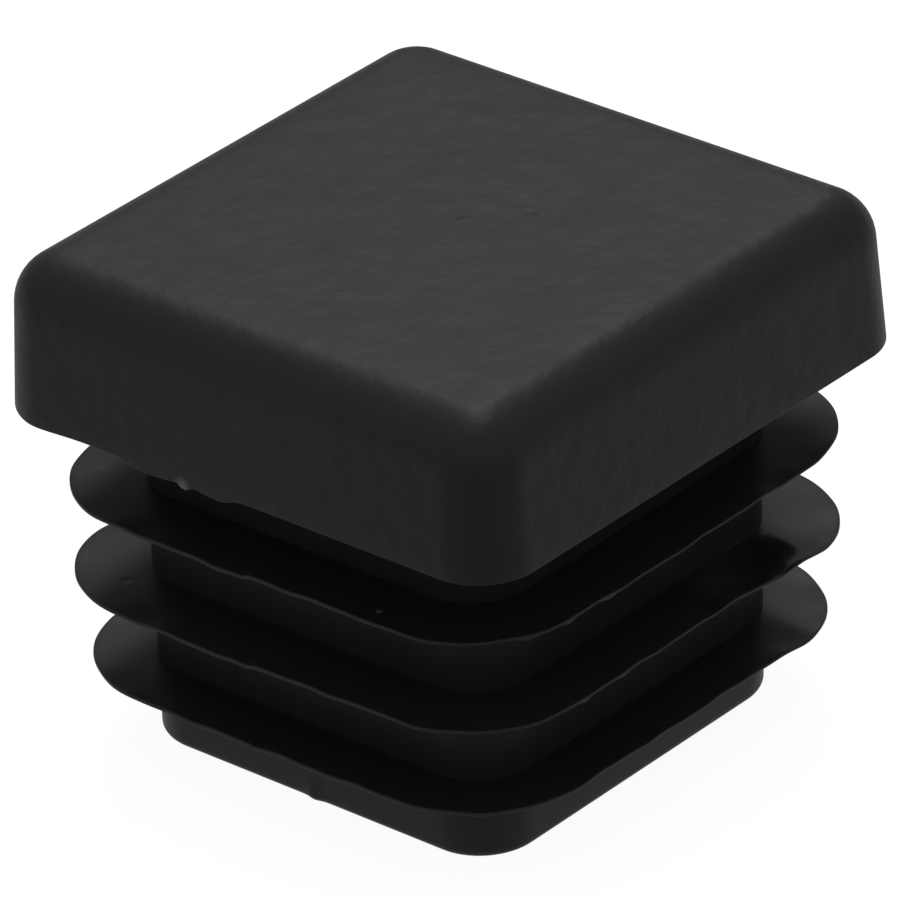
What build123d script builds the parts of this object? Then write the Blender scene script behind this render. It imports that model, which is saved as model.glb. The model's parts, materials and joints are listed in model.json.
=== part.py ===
from build123d import *
import math
import os

# A finned push-in end cap for square tube, moulded in one piece with an open foot.
# Millimetres and degrees. +Z is up: the cap stands on the rim of its foot, centred on Z at z = 0.

# The square tubes that the cap closes
tube_width = 20.0
tube_wall_thin = 1.0  # widest bore, where the fins have to bite
tube_wall_thick = 2.0  # narrowest bore, where the plug has to pass

# Head, flush with the outside of the tube at its seat
head_height = 5.1
head_corner_radius = 2.0  # upright corners, at the seat
head_draft = 3.5  # the sides lean in towards the top
head_edge_radius = 1.65  # soft edge round the top
top_thickness = 2.4  # solid plastic above the hollow

# Plug, a drafted box wall that goes into the tube
plug_length = 11.8  # from the seat to the foot
plug_clearance = 0.7  # each side, in the narrowest bore
plug_corner_radius = 2.1
plug_wall = 1.4  # at the foot
plug_draft = 0.5
foot_edge_radius = 0.4  # lead-in round the outside of the foot

# Hollow inside the plug, open at the foot
hollow_corner_radius = 1.2
hollow_draft = 0.5
ceiling_radius = 0.8  # where the walls meet the underside of the top

# Fins, thin lips that bend against the wall of the tube
fin_count = 3
fin_bite = 0.45  # each side, past the widest bore
fin_lead = 0.3  # each side, how much smaller the last fin is
fin_corner_radius = 3.8
fin_first_depth = 2.8  # from the seat to the top of the first fin
fin_last_height = 2.8  # from the foot to the top of the last fin
fin_tip_thickness = 0.25
fin_root_thickness = 0.5
fin_root_depth = 0.5  # how far a fin starts inside the wall that carries it


def lean(height, angle):
    """How far a drafted wall leans in over a height."""
    return height * math.tan(math.radians(angle))


# Widths across the flats
head_width = tube_width
plug_width = tube_width - 2 * (tube_wall_thick + plug_clearance)
foot_width = plug_width - 2 * lean(plug_length, plug_draft)
foot_corner_radius = plug_corner_radius - lean(plug_length, plug_draft)
mouth_width = foot_width - 2 * plug_wall
full_fin_width = tube_width - 2 * (tube_wall_thin - fin_bite)
fin_widths = [full_fin_width] * (fin_count - 1) + [full_fin_width - 2 * fin_lead]
root_width = plug_width - 2 * fin_root_depth
root_corner_radius = plug_corner_radius - fin_root_depth

# Heights
seat_z = plug_length
first_fin_z = seat_z - fin_first_depth
fin_pitch = (first_fin_z - fin_last_height) / (fin_count - 1)
ceiling_z = seat_z + head_height - top_thickness

# A soft edge stays inside the corner that it runs round
head_edge = min(head_edge_radius, 0.98 * (head_corner_radius - lean(head_height, head_draft)))
ceiling_edge = min(ceiling_radius, 0.9 * (hollow_corner_radius - lean(ceiling_z, hollow_draft)))


# The space inside the plug, narrowing upwards so that the moulding tool can leave it
with BuildPart() as hollow:
    with BuildSketch(Plane.XY):
        RectangleRounded(mouth_width, mouth_width, hollow_corner_radius)
    extrude(amount=ceiling_z, taper=hollow_draft)
    fillet(hollow.faces().sort_by(Axis.Z)[-1].edges(), radius=ceiling_edge)

with BuildPart() as end_cap:
    # Head, whose flat underside is the seat on the end of the tube
    with BuildSketch(Plane.XY.offset(seat_z)):
        RectangleRounded(head_width, head_width, head_corner_radius)
    extrude(amount=head_height, taper=head_draft)
    fillet(end_cap.faces().sort_by(Axis.Z)[-1].edges(), radius=head_edge)

    # Plug, widening from the foot to the seat
    with BuildSketch(Plane.XY):
        RectangleRounded(foot_width, foot_width, foot_corner_radius)
    extrude(amount=plug_length, taper=-plug_draft)
    fillet(end_cap.faces().sort_by(Axis.Z)[0].edges(), radius=foot_edge_radius)

    # Fins: flat on top and tapered underneath, thicker where they leave the wall
    for number, width in enumerate(fin_widths):
        top_z = first_fin_z - number * fin_pitch
        with BuildSketch(Plane.XY.offset(top_z)):
            RectangleRounded(width, width, fin_corner_radius)
        extrude(amount=-fin_tip_thickness)
        with BuildSketch(Plane.XY.offset(top_z - fin_root_thickness)):
            RectangleRounded(root_width, root_width, root_corner_radius)
        with BuildSketch(Plane.XY.offset(top_z - fin_tip_thickness)):
            RectangleRounded(width, width, fin_corner_radius)
        loft(ruled=True)

    # Hollow of the plug, which reaches up into the head
    add(hollow.part, mode=Mode.SUBTRACT)

end_cap.part.label = "end_cap"
os.makedirs("parts", exist_ok=True)
export_step(end_cap.part, "parts/end_cap.step")
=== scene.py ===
import json
import math

import bpy
import numpy as np
from bpy.props import FloatProperty, FloatVectorProperty, IntProperty, PointerProperty
from mathutils import Matrix, Vector


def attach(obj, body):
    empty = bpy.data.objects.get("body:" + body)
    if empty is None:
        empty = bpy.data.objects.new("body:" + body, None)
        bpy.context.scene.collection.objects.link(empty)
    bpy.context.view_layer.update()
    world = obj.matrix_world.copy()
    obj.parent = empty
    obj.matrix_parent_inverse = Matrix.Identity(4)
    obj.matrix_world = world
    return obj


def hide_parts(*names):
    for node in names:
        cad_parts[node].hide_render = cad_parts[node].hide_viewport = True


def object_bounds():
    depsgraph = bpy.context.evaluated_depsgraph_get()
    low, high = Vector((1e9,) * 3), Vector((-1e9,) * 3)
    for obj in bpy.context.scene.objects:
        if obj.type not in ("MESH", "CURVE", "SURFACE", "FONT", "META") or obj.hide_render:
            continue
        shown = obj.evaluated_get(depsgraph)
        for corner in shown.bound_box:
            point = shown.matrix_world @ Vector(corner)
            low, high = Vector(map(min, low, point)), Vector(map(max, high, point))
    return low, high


bl_info = {
    "name": "Finned end cap for square tube",
    "version": (1, 0, 0),
    "blender": (4, 5, 0),
    "location": "View3D > Sidebar > End cap",
    "description": "Builds a moulded push-in end cap for square tube, its plastic and its studio stage",
    "category": "Add Mesh",
}

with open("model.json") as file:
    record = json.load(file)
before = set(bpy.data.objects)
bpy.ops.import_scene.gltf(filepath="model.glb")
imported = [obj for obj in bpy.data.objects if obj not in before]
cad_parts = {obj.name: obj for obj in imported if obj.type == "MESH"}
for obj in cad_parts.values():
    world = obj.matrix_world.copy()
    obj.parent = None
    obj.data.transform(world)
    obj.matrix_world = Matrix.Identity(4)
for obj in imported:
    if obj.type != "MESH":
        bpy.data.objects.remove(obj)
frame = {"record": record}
CAD_LOW, CAD_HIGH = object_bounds()
MOUNTS = {mount["name"]: Vector(mount["pos_m"]) for mount in frame["record"]["mounts"]}
CAD_NODE = "end_cap"
BODY = "root"
PLASTIC_SLOT = "black_polyethylene"
# Vertex attribute that is 1 on the textured skin of the head and 0 on the smooth plug
SKIN_ATTRIBUTE = "textured_skin"
MM = 0.001
# By how much two heights that are worked out in different ways may differ
ROUNDING_SLACK = 0.01 * MM
# Flash moves the rows that lie within this many edge radii of an edge
EDGE_REACH = 2
# Faces that meet at a wider angle than this show a crisp edge
CRISP_ANGLE = math.radians(35.0)
# Levels of ever finer detail in the grain and the mottle
GRAIN_DETAIL = 4.0
# Size of the frays in a ragged mark's border
FRAY_SIZE = MM / 3
WHITE = (1.0, 1.0, 1.0, 1.0)
# The camera's clipping and the floor's half width, as multiples of the camera's distance
CLIP_NEAR = 0.1
CLIP_FAR = 20
FLOOR_REACH = 5

# Flash, as bumps along a line: (middle, half width, share of the flash's depth), in millimetres
HEAD_FLASH = (
    (-8.0, 1.2, 0.4),
    (-3.6, 0.8, 1.0),
    (-2.6, 0.5, 0.5),
    (-2.1, 0.15, 0.7),
    (-1.9, 0.25, 0.7),
    (-1.3, 0.4, 0.65),
    (-0.6, 0.5, 0.95),
)
# One row for each fin, from the upper fin down
RIM_TAGS = (
    ((-7.3, 0.2, 0.4), (-5.8, 0.15, 0.5), (-4.0, 0.25, 0.35)),
    ((-5.2, 0.15, 0.4), (-3.4, 0.25, 0.3)),
    (),
)
FOOT_TAG = ((0.1, 0.25, 0.35),)
# Waves in the fins' rims, as (how many go round the cap, share of the waves' height)
RIM_WAVES = ((9, 0.8), (23, 1.0), (41, 0.6))
# How far each fin's waves are turned against those of the fin above, in radians
WAVE_TURN = 2.0
# Rows that lie farther out along a fin than this share of its reach belong to the rim
RIM_START = 0.9

# Pale marks on the plastic, and one painted highlight, as (place, radius, shade of the plastic there), in
# millimetres
PALE_MARKS_AND_PAINTED_HIGHLIGHT = (
    ((-2.1, -10.0, 11.6), 0.42, 0.12),
    # Painted highlight: a small raised patch on the upper fin's -X-Y corner catches the light, so its grey
    # is painted paler
    ((-8.1, -7.2, 9.05), 0.45, 0.05),
    ((4.5, -8.85, 9.0), 0.14, 0.1),
)
# Small pips, and dents below zero, as (place, radius, height), in millimetres
DENTS = (
    ((0.35, 0.5, 16.9), 0.25, 0.03),
    ((1.8, 2.0, 16.9), 0.3, -0.03),
    ((-6.6, -8.0, 5.7), 0.35, -0.09),
)
# Where the plug's mould was smoother or duller, as (place, radius, roughness there), in millimetres
SHEEN_SPOTS = (
    ((8.9, 4.8, 5.9), 4.2, 0.15),
    ((8.0, 7.2, 9.2), 3.0, 0.56),
    ((8.0, 7.0, 2.8), 3.0, 0.26),
)


def length(name, description, millimetres):
    """A length property, shown with its unit, whose default is given in millimetres."""
    return FloatProperty(
        name=name, description=description, default=millimetres * MM, unit="LENGTH", subtype="DISTANCE"
    )


def angle(name, description, degrees):
    """An angle property whose default is given in degrees."""
    return FloatProperty(
        name=name, description=description, default=math.radians(degrees), unit="ROTATION", subtype="ANGLE"
    )


def share(name, description, value):
    """A plain number from 0 to 1."""
    return FloatProperty(name=name, description=description, default=value, subtype="FACTOR")


def for_each_fin(name, description, millimetres):
    """One length for each fin, from the upper fin down, whose defaults are given in millimetres."""
    values = tuple(value * MM for value in millimetres)
    return FloatVectorProperty(name=name, description=description, default=values, size=3, unit="LENGTH")


class CapSizes(bpy.types.PropertyGroup):
    """Sizes of the cap. Its width, height and seat come from the frame."""

    head_width: length("Head width", "Across the flats of the head at its seat", 2 * CAD_HIGH.x / MM)
    cap_height: length("Cap height", "From the foot to the top of the head", CAD_HIGH.z / MM)
    seat_height: length("Seat height", "From the foot to the head's seat", MOUNTS["tube_seat"].z / MM)
    head_corner: length("Head corner", "Radius of the head's upright corners at the seat", 2.0)
    head_edge: length("Head edge", "Radius of the soft edge round the top", 1.65)
    head_draft: angle("Head draft", "How far the head's sides lean in", 3.5)
    seat_edge: length("Seat edge", "Radius of the crisp edge round the seat and the mouth", 0.06)

    plug_width: length("Plug width", "Across the flats of the plug at the seat", 14.6)
    plug_corner: length("Plug corner", "Radius of the plug's upright corners", 2.1)
    plug_draft: angle("Plug draft", "How far the plug narrows towards the foot", 0.5)
    foot_edge: length("Foot edge", "Radius of the lead-in round the foot", 0.32)

    hollow_width: length("Hollow width", "Across the flats of the hollow at the foot", 11.6)
    hollow_corner: length("Hollow corner", "Radius of the hollow's upright corners", 1.2)
    hollow_draft: angle("Hollow draft", "How far the hollow narrows towards the head", 0.5)
    hollow_edge: length("Hollow edge", "Radius between the hollow's walls and its ceiling", 0.8)
    top_thickness: length("Top thickness", "Solid plastic above the hollow", 2.4)

    fin_width: length("Fin width", "Across the flats of the upper fins", 18.9)
    fin_lead: length("Fin lead", "How much smaller the last fin is on each side", 0.3)
    fin_corner: length("Fin corner", "Radius of the fins' corners", 3.8)
    first_fin: length("First fin", "From the seat down to the top of the first fin", 2.8)
    last_fin: length("Last fin", "From the foot up to the top of the last fin", 2.8)
    rim_thickness: length("Rim thickness", "Thickness of a fin at its rim", 0.14)
    root_thickness: length("Root thickness", "Thickness of a fin where it leaves the plug", 0.44)
    rim_edge: length("Rim edge", "Radius of the two edges of a fin's rim", 0.04)
    fins: IntProperty(name="Fins", description="How many fins ring the plug", default=3, min=1, max=3)

    around: IntProperty(
        name="Steps along a side", description="Mesh steps along each flat side", default=96, min=2
    )
    corner_steps: IntProperty(
        name="Steps round a corner", description="Mesh steps round each corner", default=28, min=2
    )


class CapShape(bpy.types.PropertyGroup):
    """How the soft moulding has moved out of its true form, and what its mould left on it."""

    front_lift: for_each_fin("Front corners", "How far each +X-Y corner stands up", (0.04, 0.05, 0.1))
    right_lift: for_each_fin("Right corners", "How far each +X+Y corner stands up", (0.06, -0.22, -0.17))
    back_lift: for_each_fin("Back corners", "How far each -X+Y corner stands up", (-0.07, -0.07, -0.07))
    left_lift: for_each_fin("Left corners", "How far each -X-Y corner stands up", (0.12, 0.15, 0.14))
    side_lift: for_each_fin("Right sides", "How far each +X side is curled up", (-0.06, 0.12, -0.02))
    fold_place: length("Fold place", "Where, along Y, the curled side ends in a fold", 6.2)
    fold_width: length("Fold width", "Over what width the curled side comes down again", 0.25)
    dish: for_each_fin("Dishes", "How deep each fin is dished beside its +X+Y corner", (0.0, 0.45, 0.0))
    dish_x: length("Dish along X", "Where the middle of a dish lies along X", 8.2)
    dish_y: length("Dish along Y", "Where the middle of a dish lies along Y", 3.7)
    dish_radius: length("Dish radius", "From the middle of a dish to its border", 2.2)
    dish_rim: share("Dish at the rim", "How much of a dish's depth the rim keeps", 0.5)
    parting: length("Parting line", "Where the two halves of the mould meet, along X", -0.2)
    parting_width: length("Parting width", "Over what width the mismatch is smoothed out", 0.15)
    mismatch: for_each_fin("Mismatch", "How much lower each fin's -X half was set", (0.12, 0.14, 0.06))
    wave: length("Wave", "Height of the waves in the fins' rims", 0.02)
    thin_rim: length("Thin rims", "How much thinner the fins' rims are on the +X side", 0.06)
    flash: length("Flash", "Depth of the flash on the head's edge, the rims and the foot", 0.24)
    lean_x: length("Lean along X", "Sideways drift of the plug from its seat to its foot", -0.15)
    lean_y: length("Lean along Y", "Sideways drift of the plug from its seat to its foot", -0.1)


class PlasticFinish(bpy.types.PropertyGroup):
    """Black polyethylene: spark-textured on the head and smooth on the plug."""

    colour: FloatVectorProperty(
        name="Colour", description="Of the plastic", subtype="COLOR", default=(0.0105, 0.0106, 0.0106)
    )
    head_roughness: share("Head roughness", "Roughness of the textured head", 0.46)
    plug_roughness: share("Plug roughness", "Roughness of the smooth plug and fins", 0.42)
    mottle: share("Mottle", "How far the head's roughness strays either way", 0.08)
    mottle_size: length("Mottle size", "Width of the largest patches of the mottle", 1.6)
    tint: share("Tint", "How far the plastic's colour strays either way with the mottle", 0.15)
    specular: share("Specular", "Strength of the plastic's reflection", 0.26)
    grain_size: length("Grain size", "Width of the largest grains of the head's texture", 0.9)
    grain_depth: length("Grain depth", "Height of the head's texture", 0.05)
    # The pale marks that are frayed include one painted highlight on the upper fin
    raggedness: share("Raggedness", "How far the borders of the pale marks are frayed", 0.8)


class StudioSettings(bpy.types.PropertyGroup):
    """Camera, floor and light."""

    azimuth: angle("Azimuth", "Turn of the camera round the cap, from the side that faces -Y", 41.86)
    elevation: angle("Elevation", "Height of the camera above the horizon", 29.13)
    roll: angle("Roll", "Tilt of the camera about its line of sight", -3.1)
    distance: length("Distance", "From the camera to its target", 305.4)
    target_height: length("Target height", "Height of the target above the floor", 9.4)
    target_right: length("Target right", "How far the target lies right of the cap's axis", -0.156)
    target_up: length("Target up", "How far the target lies up the picture from the cap's axis", -0.346)
    lens: FloatProperty(name="Lens", description="Focal length", default=400.0, unit="CAMERA")
    paper_grey: share("Paper grey", "Grey of the floor, by which it throws light back on the cap", 0.48)
    shadow_depth: share("Shadow depth", "Part of the floor's light, as seen, that can be shaded", 0.17)
    paper_glow: share("Paper glow", "Part of the floor's light, as seen, that can't be shaded", 0.935)
    floor_back: share("Floor behind", "Brightness of the floor behind the cap, as mirrored", 0.58)
    floor_front: share("Floor in front", "Brightness of the floor in front, as mirrored", 0.32)
    floor_fade: length("Floor fade", "How far in front of the cap the floor has faded", 50.0)
    floor_rise: length("Floor rise", "How far behind the cap the floor is at its brightest", 16.7)
    sky_low: share("Sky behind, low", "Brightness of the studio behind the cap, near the floor", 0.29)
    sky_back: share("Sky behind", "Brightness of the studio behind the cap, higher up", 0.4)
    sky_front: share("Sky in front", "Brightness of the studio on the camera's side", 0.58)
    low_end: share("Low end", "Sine of the height angle where the low part starts to brighten", 0.3)
    high_start: share("High start", "Sine of the height angle where the upper part is reached", 0.6)
    softbox_power: FloatProperty(
        name="Softbox power", description="Power of the strip softbox", default=0.76, unit="POWER"
    )
    softbox_turn: angle("Softbox turn", "How far it stands to the right of straight behind", 3.0)
    softbox_distance: length("Softbox distance", "From the softbox to the cap", 500.0)
    softbox_height: angle("Softbox height", "Height angle of the softbox's middle", 62.5)
    softbox_length: length("Softbox length", "Along its side that points away from the camera", 520.0)
    softbox_width: length("Softbox width", "Width of the softbox", 165.0)


def lean_in(height, draft):
    """How far a drafted wall leans in over a height."""
    return height * math.tan(draft)


def fin_heights(sizes):
    """Height of the flat top of each fin, from the upper one down."""
    first = sizes.seat_height - sizes.first_fin
    return np.linspace(first, sizes.last_fin, sizes.fins)


def fin_half_width(sizes, number):
    """Half of a fin's width. The last fin is smaller, to lead the plug into its tube."""
    smaller = sizes.fin_lead if number == sizes.fins - 1 else 0.0
    return sizes.fin_width / 2 - smaller


def plug_half_width(sizes, height):
    """Half of the plug's width at a height above the foot."""
    return sizes.plug_width / 2 - lean_in(sizes.seat_height - height, sizes.plug_draft)


def cap_corners(sizes):
    """The cap's section as corners of a chain, from the middle of the top to the middle of the ceiling.

    Each is (half width, centre of the upright corner, height, edge radius, steps round the edge,
    steps of the run that follows). The centre is where the plan's corner arc is struck from.
    """
    top = sizes.cap_height
    seat = sizes.seat_height
    head_half = sizes.head_width / 2
    head_centre = head_half - sizes.head_corner
    top_half = head_half - lean_in(top - seat, sizes.head_draft)
    plug_centre = sizes.plug_width / 2 - sizes.plug_corner
    corners = [
        (0.0, 0.0, top, 0.0, 0, 14),
        (top_half, head_centre, top, sizes.head_edge, 14, 8),
        (head_half, head_centre, seat, sizes.seat_edge, 4, 5),
        (sizes.plug_width / 2, plug_centre, seat, 0.0, 0, 4),
    ]
    for number, fin_top in enumerate(fin_heights(sizes)):
        rim = fin_half_width(sizes, number)
        rim_centre = rim - sizes.fin_corner
        under_root = fin_top - sizes.root_thickness
        corners += [
            (plug_half_width(sizes, fin_top), plug_centre, fin_top, 0.0, 0, 12),
            (rim, rim_centre, fin_top, sizes.rim_edge, 4, 1),
            (rim, rim_centre, fin_top - sizes.rim_thickness, sizes.rim_edge, 4, 12),
            (plug_half_width(sizes, under_root), plug_centre, under_root, 0.0, 0, 4),
        ]
    foot_half = plug_half_width(sizes, 0.0)
    mouth_half = sizes.hollow_width / 2
    ceiling = top - sizes.top_thickness
    ceiling_half = mouth_half - lean_in(ceiling, sizes.hollow_draft)
    hollow_centre = mouth_half - sizes.hollow_corner
    corners += [
        (foot_half, plug_centre, 0.0, sizes.foot_edge, 7, 2),
        (mouth_half, hollow_centre, 0.0, sizes.seat_edge, 3, 6),
        (ceiling_half, hollow_centre, ceiling, sizes.hollow_edge, 6, 5),
        (0.0, 0.0, ceiling, 0.0, 0, 0),
    ]
    return corners


def edge_arc(corner, into, out_of, radius, steps):
    """Points of the arc that rounds off a corner, between unit vectors that run into it and out of it.

    Where the chain turns by an angle a, an arc of radius r starts r*tan(a/2) before the corner and is
    struck from the point that lies r from both runs.
    """
    turn = math.atan2(into[0] * out_of[1] - into[1] * out_of[0], into @ out_of)
    start = corner - into * (radius * math.tan(abs(turn) / 2))
    normal = np.array([-into[1], into[0]]) * math.copysign(1.0, turn)
    middle = start + normal * radius
    spoke = -normal * radius
    bends = np.linspace(0.0, turn, steps + 1)
    across = middle[0] + spoke[0] * np.cos(bends) - spoke[1] * np.sin(bends)
    up = middle[1] + spoke[0] * np.sin(bends) + spoke[1] * np.cos(bends)
    return np.stack([across, up], axis=1)


def rounded_chain(corners):
    """Rows of (half width, corner centre, height) along a chain whose corners are rounded off.

    Between two arcs the rows lie on a straight run, along which the corner centre goes evenly from one
    corner's to the next one's.
    """
    points = np.array([(half, height) for half, _, height, *_ in corners])
    runs = [run / np.linalg.norm(run) for run in np.diff(points, axis=0)]
    rows = [corners[0][:3]]
    for i in range(1, len(corners)):
        half, centre, height, radius, arc_steps, _ = corners[i]
        if i < len(runs):
            arc = edge_arc(points[i], runs[i - 1], runs[i], radius, arc_steps)
            rounded = [(arc_half, centre, arc_height) for arc_half, arc_height in arc]
        else:
            rounded = [(half, centre, height)]
        *_, run_steps = corners[i - 1]
        run = np.linspace(rows[-1], rounded[0], run_steps + 1)[1:-1]
        rows += [*run, *rounded]
    return np.array(rows)


def outline_steps(sizes):
    """The plan's parameters, step by step round the cap: place along a side, angle round a corner, side.

    The place runs from -1 to 1 with no angle, and then stays at 1 while the angle goes to a quarter
    turn. The sides are numbered from 0 to 3.
    """
    side = np.linspace(-1.0, 1.0, sizes.around, endpoint=False)
    turn = np.linspace(0.0, math.pi / 2, sizes.corner_steps, endpoint=False)
    place = np.concatenate([side, np.ones(sizes.corner_steps)])
    bend = np.concatenate([np.zeros(sizes.around), turn])
    side_number = np.repeat(np.arange(4), len(place))
    return np.tile(place, 4), np.tile(bend, 4), side_number


def carried_round(rows, sizes):
    """The section carried round a square with round corners, as an array of points: rows by steps.

    On the side that faces +X a point is (c + r cos b, p c + r sin b), where c is the corner's
    centre, r the half width less c, p the place along the side and b the angle round the corner.
    The other sides are the same points turned by a quarter turn each.
    """
    place, bend, side_number = outline_steps(sizes)
    centre = rows[:, 1:2]
    radius = rows[:, 0:1] - centre
    out = centre + radius * np.cos(bend)
    along = place * centre + radius * np.sin(bend)
    turn = side_number * math.pi / 2
    x = out * np.cos(turn) - along * np.sin(turn)
    y = out * np.sin(turn) + along * np.cos(turn)
    z = np.broadcast_to(rows[:, 2:3], x.shape)
    return np.stack([x, y, z], axis=2)


def fin_reach(rows, sizes, number):
    """How far out along one fin each row lies: 0 on the plug and 1 at the rim."""
    middle = fin_heights(sizes)[number] - sizes.root_thickness / 2
    rim = fin_half_width(sizes, number)
    near = np.abs(rows[:, 2] - middle) <= sizes.root_thickness / 2 + ROUNDING_SLACK
    reach = (rows[:, 0] - plug_half_width(sizes, rows[:, 2])) / (rim - sizes.plug_width / 2)
    return np.where(near, np.clip(reach, 0.0, 1.0), 0.0)


def step_up(place, width):
    """A smooth step from 0 to 1 over a width."""
    return 0.5 + 0.5 * np.tanh(place / width)


def bumps(place, marks):
    """Sum of smooth bumps along a line. Each mark is (middle, half width, height)."""
    return sum(height * np.exp(-(((place - middle) / width) ** 2)) for middle, width, height in marks)


def fin_bend(shape, number, x, y, reach):
    """How far a fin stands above its true height, by place round the cap and reach from the plug.

    A corner's lift fades as the fourth power of the cosine of twice the angle from that corner, to
    nothing at the middles of the sides beside it. The +X side's lift fades as the fourth power of the
    cosine of the angle itself, and ends at the fold in a step. A dish is a round bowl (1 - g^2)^2 deep,
    where g is the distance from its middle as a share of its radius. It starts from nothing at the
    plug, and the rim keeps only a share of it. Sines of the angle give the rim its waves, which die
    out quickly towards the plug.
    """
    around = np.arctan2(y, x)
    bend = np.zeros_like(x)
    corners = (shape.front_lift, shape.right_lift, shape.back_lift, shape.left_lift)
    for corner, lift in enumerate(corners):
        off = around - math.radians(90.0 * corner - 45.0)
        bend += lift[number] * np.where(np.cos(off) > math.cos(math.pi / 4), np.cos(2 * off) ** 4, 0.0)
    side = np.where(x > 0, np.cos(around) ** 4, 0.0) * step_up(shape.fold_place - y, shape.fold_width)
    bend = reach * (bend + shape.side_lift[number] * side)
    gap = np.hypot(x - shape.dish_x, y - shape.dish_y) / shape.dish_radius
    dish = shape.dish[number] * np.clip(1.0 - gap**2, 0.0, 1.0) ** 2
    bend -= dish * (1.0 - (1.0 - reach) ** 4) * (1.0 - (1.0 - shape.dish_rim) * reach**3)
    for waves, part in RIM_WAVES:
        bend += reach**4 * shape.wave * part * np.sin(waves * around + WAVE_TURN * waves * number)
    return bend


def relaxed(points, rows, sizes, shape):
    """The moulded form after it has cooled: the plug leans a little, and the fins bend towards their rims.

    The lean grows evenly from the seat to the foot. On the -X side of the parting line the fins sit
    lower, by an amount that grows as the square of the reach. On the +X side their rims are thinner, by
    the squared cosine of the angle from that side's middle. Flash hangs from the head's edge on the -Y
    side and in a few tags from the rims on the +X side, and one tag stands out from the foot on the -Y
    side.
    """
    points = points.copy()
    depth = np.clip((sizes.seat_height - rows[:, 2:3]) / sizes.seat_height, 0.0, 1.0)
    x, y = points[:, :, 0].copy(), points[:, :, 1].copy()
    lower_half = step_up(shape.parting - x, shape.parting_width)
    for number in range(sizes.fins):
        top = fin_heights(sizes)[number]
        reach = fin_reach(rows, sizes, number)[:, None]
        bend = fin_bend(shape, number, x, y, reach) - reach**2 * shape.mismatch[number] * lower_half
        under_rim = (reach > RIM_START) & (rows[:, 2:3] < top - sizes.rim_thickness / 2)
        tags = bumps(y / MM, RIM_TAGS[number]) * (x > 0) * (y < 0)
        thinner = shape.thin_rim * np.where(x > 0, np.cos(np.arctan2(y, x)) ** 2, 0.0)
        points[:, :, 2] += bend + under_rim * (thinner - shape.flash * tags)
    head_half = sizes.head_width / 2
    from_edge = np.hypot(rows[:, 0:1] - head_half, rows[:, 2:3] - sizes.seat_height)
    on_edge = from_edge < EDGE_REACH * sizes.seat_edge
    points[:, :, 2] -= on_edge * shape.flash * bumps(x / MM, HEAD_FLASH) * (y < 0)
    outside_mouth = rows[:, 0:1] > sizes.hollow_width / 2 + sizes.foot_edge
    on_foot = (rows[:, 2:3] < EDGE_REACH * sizes.foot_edge) & outside_mouth
    points[:, :, 1] -= on_foot * shape.flash * bumps(x / MM, FOOT_TAG) * (y < 0)
    points[:, :, 0] += depth * shape.lean_x
    points[:, :, 1] += depth * shape.lean_y
    return points


def smooth_piece(name, vertices, faces):
    """A smoothly shaded mesh object from points and arrays of faces, one for each number of corners."""
    corners = np.concatenate([part.ravel() for part in faces])
    corner_counts = np.concatenate([np.full(len(part), part.shape[1]) for part in faces])
    starts = np.concatenate([[0], np.cumsum(corner_counts)[:-1]])
    mesh = bpy.data.meshes.new(name)
    mesh.vertices.add(len(vertices))
    mesh.vertices.foreach_set("co", vertices.astype(np.float32).ravel())
    mesh.loops.add(len(corners))
    mesh.loops.foreach_set("vertex_index", corners.astype(np.int32))
    mesh.polygons.add(len(starts))
    mesh.polygons.foreach_set("loop_start", starts.astype(np.int32))
    mesh.polygons.foreach_set("use_smooth", np.ones(len(starts), bool))
    mesh.update(calc_edges=True)
    mesh.validate()
    mesh.set_sharp_from_angle(angle=CRISP_ANGLE)
    piece = bpy.data.objects.new(name, mesh)
    bpy.context.scene.collection.objects.link(piece)
    return piece


def closed_grid(name, points):
    """A piece from rows of points that close on themselves. The first and last row are poles."""
    row_count, steps, _ = points.shape
    inner = points[1:-1].reshape(-1, 3)
    vertices = np.vstack([points[0, :1], inner, points[-1, :1]])
    step = np.arange(steps)
    following = (step + 1) % steps
    ring = np.arange(row_count - 3)[:, None] * steps + 1
    next_ring = ring + steps
    quads = np.stack([ring + step, next_ring + step, next_ring + following, ring + following], axis=2)
    last_ring = 1 + (row_count - 3) * steps
    last = len(vertices) - 1
    first_fan = np.stack([np.zeros(steps, int), 1 + step, 1 + following], axis=1)
    last_fan = np.stack([last_ring + following, last_ring + step, np.full(steps, last)], axis=1)
    return smooth_piece(name, vertices, [quads.reshape(-1, 4), first_fan, last_fan])


def feed(tree, node, values):
    """Gives a node's inputs, by name or number, their values. Each may be a number or a socket."""
    for name, value in values.items():
        if isinstance(value, bpy.types.NodeSocket):
            tree.links.new(value, node.inputs[name])
        else:
            node.inputs[name].default_value = value


def maths(tree, operation, *values):
    """The result of a Math node. Each value may be a number or a socket."""
    node = tree.nodes.new("ShaderNodeMath")
    node.operation = operation
    feed(tree, node, dict(enumerate(values)))
    return node.outputs["Value"]


def mixed(tree, factor, low, high, kind="FLOAT"):
    """A value or a colour that goes from low to high with a factor."""
    mix = tree.nodes.new("ShaderNodeMix")
    mix.data_type = kind
    feed(tree, mix, {"Factor": factor, "A": low, "B": high})
    return mix.outputs["Result"]


def new_group(name, inputs, outputs):
    """An empty node group with its input and output nodes. Its sockets are given as {name: kind}."""
    group = bpy.data.node_groups.new(name, "ShaderNodeTree")
    for socket, kind in inputs.items():
        group.interface.new_socket(socket, in_out="INPUT", socket_type=kind)
    for socket, kind in outputs.items():
        group.interface.new_socket(socket, in_out="OUTPUT", socket_type=kind)
    return group, group.nodes.new("NodeGroupInput"), group.nodes.new("NodeGroupOutput")


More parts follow.
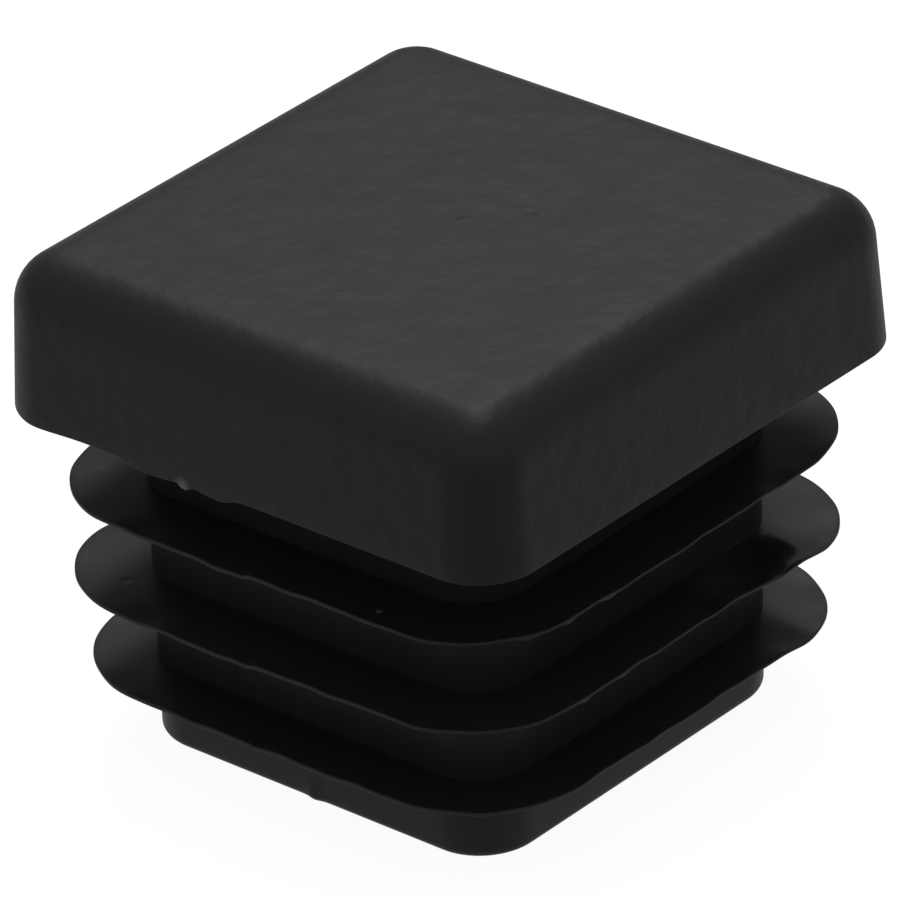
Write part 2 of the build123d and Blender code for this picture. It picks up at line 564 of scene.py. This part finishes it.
def grain_group():
    """Node group of moulded grain: a fine height, and a slow mottle that tints and roughens the skin."""
    group, inputs, outputs = new_group(
        "moulded_grain",
        {"Grain Size": "NodeSocketFloat", "Mottle Size": "NodeSocketFloat"},
        {"Height": "NodeSocketFloat", "Mottle": "NodeSocketFloat"},
    )
    place = group.nodes.new("ShaderNodeTexCoord")
    for size, output in (("Grain Size", "Height"), ("Mottle Size", "Mottle")):
        noise = group.nodes.new("ShaderNodeTexNoise")
        scale = maths(group, "DIVIDE", 1.0, inputs.outputs[size])
        feed(group, noise, {"Vector": place.outputs["Object"], "Scale": scale, "Detail": GRAIN_DETAIL})
        group.links.new(noise.outputs["Fac"], outputs.inputs[output])
    return group


# The round mark masks the pale marks, the painted highlight, the sheen spots and the dents
def mark_group():
    """Node group of a round mark: 1 at its place, falling to 0 at its radius, which may be ragged."""
    group, inputs, outputs = new_group(
        "round_mark",
        {"Place": "NodeSocketVector", "Radius": "NodeSocketFloat", "Raggedness": "NodeSocketFloat"},
        {"Amount": "NodeSocketFloat"},
    )
    place = group.nodes.new("ShaderNodeTexCoord")
    gap = group.nodes.new("ShaderNodeVectorMath")
    gap.operation = "DISTANCE"
    feed(group, gap, {0: place.outputs["Object"], 1: inputs.outputs["Place"]})
    frays = group.nodes.new("ShaderNodeTexNoise")
    feed(group, frays, {"Vector": place.outputs["Object"], "Scale": 1 / FRAY_SIZE})
    stray = maths(group, "SUBTRACT", frays.outputs["Fac"], 0.5)
    wider = maths(group, "MULTIPLY_ADD", stray, inputs.outputs["Raggedness"], 1.0)
    border = maths(group, "MULTIPLY", inputs.outputs["Radius"], wider)
    fade = group.nodes.new("ShaderNodeMapRange")
    fade.interpolation_type = "SMOOTHSTEP"
    feed(group, fade, {"Value": gap.outputs["Value"], "From Max": border, "To Min": 1.0, "To Max": 0.0})
    group.links.new(fade.outputs["Result"], outputs.inputs["Amount"])
    return group


def add_mark(tree, group, place, radius, raggedness=0.0):
    """The amount of one mark, whose place and radius are given in millimetres."""
    mark = tree.nodes.new("ShaderNodeGroup")
    mark.node_tree = group
    place = [value * MM for value in place]
    feed(tree, mark, {"Place": place, "Radius": radius * MM, "Raggedness": raggedness})
    return mark.outputs["Amount"]


def plastic_colour(tree, mottle, marks, finish):
    """The plastic's colour, which strays with the mottle and is paler at the pale marks and at one painted
    highlight.
    """
    colour = Vector(finish.colour)
    darkest = (*(colour * (1.0 - finish.tint)), 1.0)
    palest = (*(colour * (1.0 + finish.tint)), 1.0)
    shown = mixed(tree, mottle, darkest, palest, "RGBA")
    # Pale marks, and one painted highlight on the upper fin's -X-Y corner, mix a paler grey into the
    # colour
    for place, radius, shade in PALE_MARKS_AND_PAINTED_HIGHLIGHT:
        amount = add_mark(tree, marks, place, radius, finish.raggedness)
        shown = mixed(tree, amount, shown, (shade, shade, shade, 1.0), "RGBA")
    return shown


def plastic_roughness(tree, mottle, textured_skin, marks, finish):
    """The plug's roughness, and on the textured skin the head's, which strays with the mottle."""
    smoothest = finish.head_roughness - finish.mottle
    roughest = finish.head_roughness + finish.mottle
    textured = mixed(tree, mottle, smoothest, roughest)
    roughness = mixed(tree, textured_skin, finish.plug_roughness, textured)
    for place, radius, there in SHEEN_SPOTS:
        roughness = mixed(tree, add_mark(tree, marks, place, radius), roughness, there)
    return roughness


def plastic_relief(tree, height, textured_skin, marks, finish):
    """The normal of the grain, which only the textured skin has, and of the small dents."""
    bump = tree.nodes.new("ShaderNodeBump")
    grain = maths(tree, "MULTIPLY", height, textured_skin)
    feed(tree, bump, {"Height": grain, "Distance": finish.grain_depth})
    for place, radius, rise in DENTS:
        dent = tree.nodes.new("ShaderNodeBump")
        amount = add_mark(tree, marks, place, radius)
        feed(tree, dent, {"Height": amount, "Distance": rise * MM, "Normal": bump.outputs["Normal"]})
        bump = dent
    return bump.outputs["Normal"]


def polyethylene(finish):
    """Black polyethylene. A vertex attribute tells the textured skin of the head from the smooth plug."""
    material = bpy.data.materials.new(PLASTIC_SLOT)
    material.use_nodes = True
    tree = material.node_tree
    grain = tree.nodes.new("ShaderNodeGroup")
    grain.node_tree = grain_group()
    feed(tree, grain, {"Grain Size": finish.grain_size, "Mottle Size": finish.mottle_size})
    attribute = tree.nodes.new("ShaderNodeAttribute")
    attribute.attribute_name = SKIN_ATTRIBUTE
    textured_skin = attribute.outputs["Fac"]
    mottle, height = grain.outputs["Mottle"], grain.outputs["Height"]
    marks = mark_group()
    shader = tree.nodes["Principled BSDF"]
    shader.inputs["Specular IOR Level"].default_value = finish.specular
    colour = plastic_colour(tree, mottle, marks, finish)
    tree.links.new(colour, shader.inputs["Base Color"])
    roughness = plastic_roughness(tree, mottle, textured_skin, marks, finish)
    tree.links.new(roughness, shader.inputs["Roughness"])
    normal = plastic_relief(tree, height, textured_skin, marks, finish)
    tree.links.new(normal, shader.inputs["Normal"])
    return material


class ENDCAP_OT_moulding(bpy.types.Operator):
    """Build the one-piece moulding: head, plug, fins and hollow"""

    bl_idname = "endcap.moulding"
    bl_label = "Moulded cap"

    def execute(self, context):
        scene = context.scene
        sizes = scene.cap_sizes
        rows = rounded_chain(cap_corners(sizes))
        points = relaxed(carried_round(rows, sizes), rows, sizes, scene.cap_shape)
        cap = closed_grid("moulded_cap", points)
        seat_row = np.argmin(np.abs(rows[:, 2] - sizes.seat_height))
        on_head = np.arange(1, len(rows) - 1) <= seat_row
        skin = np.concatenate([[1.0], np.repeat(on_head, points.shape[1]), [0.0]])
        attribute = cap.data.attributes.new(SKIN_ATTRIBUTE, "FLOAT", "POINT")
        attribute.data.foreach_set("value", skin.astype(np.float32))
        cap.data.materials.append(polyethylene(scene.plastic_finish))
        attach(cap, BODY)
        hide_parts(CAD_NODE)
        return {"FINISHED"}


def camera_place(studio):
    """The camera's matrix: it looks at its target from two angles, rolled about its line of sight."""
    a, e, roll = studio.azimuth, studio.elevation, studio.roll
    back = Vector((math.sin(a) * math.cos(e), -math.cos(a) * math.cos(e), math.sin(e)))
    level_right = Vector((math.cos(a), math.sin(a), 0.0))
    level_up = back.cross(level_right)
    right = level_right * math.cos(roll) + level_up * math.sin(roll)
    up = level_up * math.cos(roll) - level_right * math.sin(roll)
    target = Vector((0.0, 0.0, studio.target_height)) + right * studio.target_right
    target += up * studio.target_up
    turn = Matrix((right, up, back)).transposed().to_4x4()
    return Matrix.Translation(target + back * studio.distance) @ turn


def add_camera(studio):
    """The camera, set as the scene's own."""
    data = bpy.data.cameras.new("camera")
    data.lens = studio.lens
    data.clip_start = studio.distance * CLIP_NEAR
    data.clip_end = studio.distance * CLIP_FAR
    camera = bpy.data.objects.new("camera", data)
    bpy.context.scene.collection.objects.link(camera)
    camera.matrix_world = camera_place(studio)
    bpy.context.scene.camera = camera


def away_from_camera(studio):
    """Level unit vector that points from the camera past the cap."""
    return Vector((-math.sin(studio.azimuth), math.cos(studio.azimuth), 0.0))


def ramp_along(tree, source, direction, start, end, low, high):
    """A smooth ramp from low to high, as the source's part along a direction goes from start to end."""
    along = tree.nodes.new("ShaderNodeVectorMath")
    along.operation = "DOT_PRODUCT"
    feed(tree, along, {0: source, 1: direction})
    ramp = tree.nodes.new("ShaderNodeMapRange")
    ramp.interpolation_type = "SMOOTHSTEP"
    tree.links.new(along.outputs["Value"], ramp.inputs["Value"])
    feed(tree, ramp, {"From Min": start, "From Max": end, "To Min": low, "To Max": high})
    return ramp.outputs["Result"]


def by_ray(tree, ordinary, seen, mirrored):
    """One value for light that is thrown about, one for the camera's rays and one for reflections."""
    path = tree.nodes.new("ShaderNodeLightPath")
    value = ordinary
    for ray, other in (("Is Camera Ray", seen), ("Is Glossy Ray", mirrored)):
        value = mixed(tree, path.outputs[ray], value, other)
    return value


def floor_material(studio):
    """Pale paper, which the camera sees shaded, and which fades towards the camera as it is mirrored."""
    material = bpy.data.materials.new("studio_paper")
    material.use_nodes = True
    tree = material.node_tree
    shader = tree.nodes["Principled BSDF"]
    feed(tree, shader, {"Roughness": 1.0, "Specular IOR Level": 0.0, "Emission Color": WHITE})
    grey = by_ray(tree, studio.paper_grey, studio.shadow_depth, 0.0)
    tree.links.new(grey, shader.inputs["Base Color"])
    place = tree.nodes.new("ShaderNodeTexCoord")
    mirrored = ramp_along(
        tree,
        place.outputs["Object"],
        away_from_camera(studio),
        -studio.floor_fade,
        studio.floor_rise,
        studio.floor_front,
        studio.floor_back,
    )
    glow = by_ray(tree, 0.0, studio.paper_glow, mirrored)
    tree.links.new(glow, shader.inputs["Emission Strength"])
    return material


def add_floor(studio):
    """A large level square at the cap's foot."""
    half = studio.distance * FLOOR_REACH
    square = np.array([(-half, -half, 0.0), (half, -half, 0.0), (half, half, 0.0), (-half, half, 0.0)])
    mesh = bpy.data.meshes.new("floor")
    mesh.from_pydata(square, [], [(0, 1, 2, 3)])
    floor = bpy.data.objects.new("floor", mesh)
    bpy.context.scene.collection.objects.link(floor)
    floor.data.materials.append(floor_material(studio))


def add_world(studio):
    """White as the camera sees it, and otherwise a studio that is brighter on the camera's side."""
    world = bpy.data.worlds.new("studio")
    bpy.context.scene.world = world
    world.use_nodes = True
    tree = world.node_tree
    direction = tree.nodes.new("ShaderNodeTexCoord")
    looked_at = direction.outputs["Generated"]
    up = (0.0, 0.0, 1.0)
    behind = ramp_along(
        tree, looked_at, up, studio.low_end, studio.high_start, studio.sky_low, studio.sky_back
    )
    sky = ramp_along(tree, looked_at, away_from_camera(studio), -1.0, 1.0, studio.sky_front, behind)
    feed(tree, tree.nodes["Background"], {"Color": WHITE, "Strength": by_ray(tree, sky, 1.0, sky)})


def add_softbox(studio):
    """A strip softbox above and behind the cap, which faces it and points lengthwise away from it."""
    data = bpy.data.lights.new("softbox", "AREA")
    data.shape = "RECTANGLE"
    data.size = studio.softbox_width
    data.size_y = studio.softbox_length
    data.energy = studio.softbox_power
    lamp = bpy.data.objects.new("softbox", data)
    bpy.context.scene.collection.objects.link(lamp)
    away = Matrix.Rotation(-studio.softbox_turn, 3, "Z") @ away_from_camera(studio)
    height = studio.softbox_height
    facing_back = away * math.cos(height) + Vector((0.0, 0.0, math.sin(height)))
    lengthwise = away * math.sin(height) - Vector((0.0, 0.0, math.cos(height)))
    turn = Matrix((lengthwise.cross(facing_back), lengthwise, facing_back)).transposed().to_4x4()
    lamp.matrix_world = Matrix.Translation(facing_back * studio.softbox_distance) @ turn


class ENDCAP_OT_stage(bpy.types.Operator):
    """Build the studio: floor, surroundings, softbox and camera"""

    bl_idname = "endcap.stage"
    bl_label = "Studio stage"

    def execute(self, context):
        studio = context.scene.studio_settings
        context.scene.view_settings.view_transform = "Standard"
        add_floor(studio)
        add_world(studio)
        add_softbox(studio)
        add_camera(studio)
        return {"FINISHED"}


class ENDCAP_PT_sidebar(bpy.types.Panel):
    """Lists the cap's build steps and the values that they use"""

    bl_idname = "ENDCAP_PT_sidebar"
    bl_label = "End cap"
    bl_space_type = "VIEW_3D"
    bl_region_type = "UI"
    bl_category = "End cap"

    def draw(self, context):
        layout = self.layout
        scene = context.scene
        layout.operator(ENDCAP_OT_moulding.bl_idname)
        layout.operator(ENDCAP_OT_stage.bl_idname)
        for group in (scene.cap_sizes, scene.cap_shape, scene.plastic_finish, scene.studio_settings):
            box = layout.box()
            for name in group.bl_rna.properties.keys():
                if name not in ("rna_type", "name"):
                    box.prop(group, name)


GROUPS = {
    "cap_sizes": CapSizes,
    "cap_shape": CapShape,
    "plastic_finish": PlasticFinish,
    "studio_settings": StudioSettings,
}
CLASSES = (*GROUPS.values(), ENDCAP_OT_moulding, ENDCAP_OT_stage, ENDCAP_PT_sidebar)


def register():
    for cls in CLASSES:
        bpy.utils.register_class(cls)
    for name, group in GROUPS.items():
        setattr(bpy.types.Scene, name, PointerProperty(type=group))


def unregister():
    for name in GROUPS:
        delattr(bpy.types.Scene, name)
    for cls in reversed(CLASSES):
        bpy.utils.unregister_class(cls)


def main():
    """Registers the classes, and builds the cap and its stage."""
    register()
    bpy.ops.endcap.moulding()
    bpy.ops.endcap.stage()


if __name__ == "__main__":
    main()
